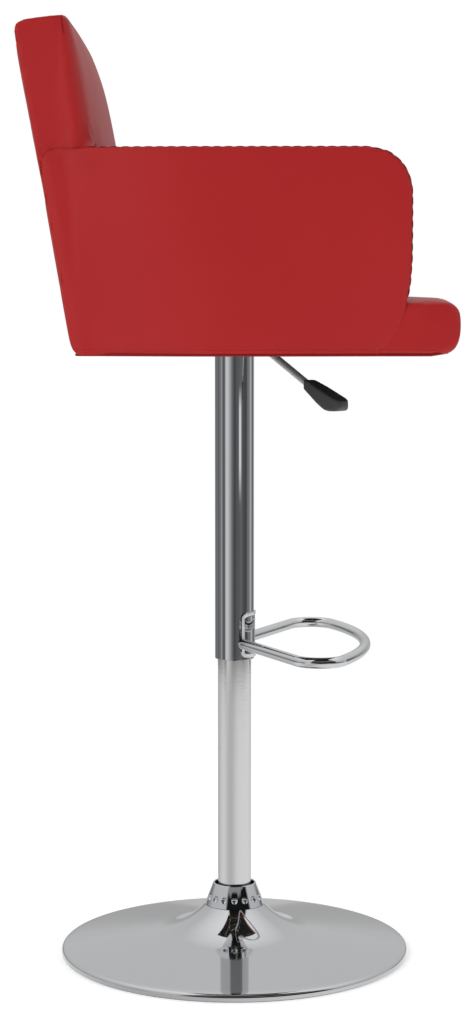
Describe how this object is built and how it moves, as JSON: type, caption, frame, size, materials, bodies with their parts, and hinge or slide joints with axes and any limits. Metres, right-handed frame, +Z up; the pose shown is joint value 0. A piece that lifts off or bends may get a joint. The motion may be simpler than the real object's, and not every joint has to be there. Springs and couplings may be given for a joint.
{
  "type": "swivel stool",
  "caption": "Height-adjustable swivel stool with a padded back and arms, a round pedestal foot, a gas column, a height lever and a bowed foot loop.",
  "frame": {"origin": "on the floor, on the axis of the column", "axes": "+Z up, +X the way the sitter faces, +Y the sitter's left"},
  "size_m": [0.4724, 0.5, 1.0685],
  "materials": {
    "painted_base": "satin",
    "chrome": "polished",
    "dark_steel": "satin",
    "bright_steel": "satin",
    "ballast_iron": "matte",
    "black_plastic": "satin",
    "nylon": "satin",
    "stop_rubber": "matte",
    "upholstery": "satin",
    "board": "matte",
    "lining": "matte"
  },
  "bodies": {
    "base": {"base_shell": "painted_base", "floor_ring": "black_plastic", "base_brace": "dark_steel", "ballast_disc": "ballast_iron", "hub_tube": "dark_steel", "neck_ring": "dark_steel", "trim_collar": "chrome", "standing_tube": "bright_steel", "guide_bush": "nylon", "tube_end_plate": "dark_steel", "bearing_race_lower": "bright_steel", "bearing_balls": "chrome", "ball_cage": "nylon"},
    "spindle": {"bearing_race_upper": "bright_steel", "piston_rod": "chrome", "bump_stop": "stop_rubber", "retaining_washer": "bright_steel", "retaining_clip": "dark_steel", "piston": "bright_steel", "piston_seal": "stop_rubber"},
    "seat": {"pressure_tube": "dark_steel", "rod_seal": "stop_rubber", "rod_guide": "nylon", "valve_body": "bright_steel", "cover_sleeve": "chrome", "sleeve_glide": "nylon", "taper_socket": "dark_steel", "lever_cup": "dark_steel", "lever_pivot_pin": "bright_steel", "mounting_plate": "dark_steel", "plate_bolts": "dark_steel", "plate_washers": "bright_steel", "tee_nuts": "bright_steel", "seat_frame": "board", "seat_board": "board", "rail_screws": "bright_steel", "dust_cover": "lining", "seat_cushion": "upholstery", "back_pad": "upholstery", "back_board": "board", "arm_pad_left": "upholstery", "arm_pad_right": "upholstery", "arm_board_left": "board", "arm_board_right": "board", "arm_bolts": "dark_steel", "arm_nuts": "dark_steel", "back_bolts": "dark_steel", "back_nuts": "dark_steel", "foot_loop": "chrome", "loop_saddle": "chrome"},
    "lever": {"lever_rod": "dark_steel", "lever_grip": "black_plastic"},
    "release": {"release_pin": "bright_steel"}
  },
  "joints": [
    {"name": "swivel", "type": "hinge", "parent": "base", "child": "spindle", "pos_m": [0, 0, 0.02], "axis": [0, 0, 1], "continuous": true},
    {"name": "height", "type": "slide", "parent": "spindle", "child": "seat", "axis": [0, 0, 1], "range_m": [-0.21, 0]},
    {"name": "lever_lift", "type": "hinge", "parent": "seat", "child": "lever", "pos_m": [0.01591, -0.01591, 0.726], "axis": [-0.7071, -0.7071, 0], "range_deg": [0, 8], "stiffness_Nm_per_rad": 4, "springref_deg": -2.86},
    {"name": "valve_press", "type": "slide", "parent": "seat", "child": "release", "axis": [0, 0, 1], "range_m": [-0.0036, 0]}
  ],
  "couplings": [
    {"joint": "valve_press", "follows": "lever_lift", "m_per_rad": -0.0255}
  ]
}
